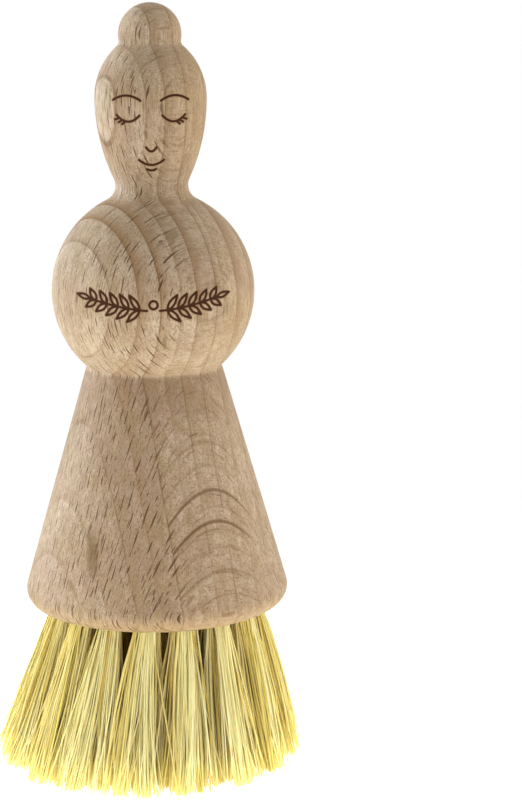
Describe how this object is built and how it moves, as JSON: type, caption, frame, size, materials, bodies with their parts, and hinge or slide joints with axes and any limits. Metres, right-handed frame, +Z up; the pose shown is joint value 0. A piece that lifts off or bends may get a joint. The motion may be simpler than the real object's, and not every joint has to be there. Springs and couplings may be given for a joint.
{
  "type": "palm brush",
  "caption": "Turned wooden hand brush with a round palm ball, a slim head and a conical base set with splayed tufts of stiff plant fibre.",
  "frame": {"origin": "middle of the trimmed fibre tips, on the surface that the brush stands on", "axes": "+Z up along the handle's turned axis, from the tips to the bun; the face looks along -Y"},
  "size_m": [0.0568, 0.0568, 0.1438],
  "materials": {
    "raw_beech": "fine-sanded, unoiled, with short darker ray flecks",
    "plant_fibre": "stiff straw-coloured plant fibre, trimmed flat",
    "staple_wire": "drawn wire, hidden in the holes"
  },
  "bodies": {
    "root": {"handle": "raw_beech", "tuft_outer_01": "plant_fibre", "tuft_outer_02": "plant_fibre", "tuft_outer_03": "plant_fibre", "tuft_outer_04": "plant_fibre", "tuft_outer_05": "plant_fibre", "tuft_outer_06": "plant_fibre", "tuft_outer_07": "plant_fibre", "tuft_outer_08": "plant_fibre", "tuft_outer_09": "plant_fibre", "tuft_outer_10": "plant_fibre", "tuft_outer_11": "plant_fibre", "tuft_outer_12": "plant_fibre", "tuft_outer_13": "plant_fibre", "tuft_outer_14": "plant_fibre", "tuft_outer_15": "plant_fibre", "tuft_outer_16": "plant_fibre", "staples_outer_ring": "staple_wire", "tuft_middle_01": "plant_fibre", "tuft_middle_02": "plant_fibre", "tuft_middle_03": "plant_fibre", "tuft_middle_04": "plant_fibre", "tuft_middle_05": "plant_fibre", "tuft_middle_06": "plant_fibre", "tuft_middle_07": "plant_fibre", "tuft_middle_08": "plant_fibre", "tuft_middle_09": "plant_fibre", "tuft_middle_10": "plant_fibre", "staples_middle_ring": "staple_wire", "tuft_inner_01": "plant_fibre", "tuft_inner_02": "plant_fibre", "tuft_inner_03": "plant_fibre", "tuft_inner_04": "plant_fibre", "staples_inner_ring": "staple_wire"}
  },
  "joints": []
}
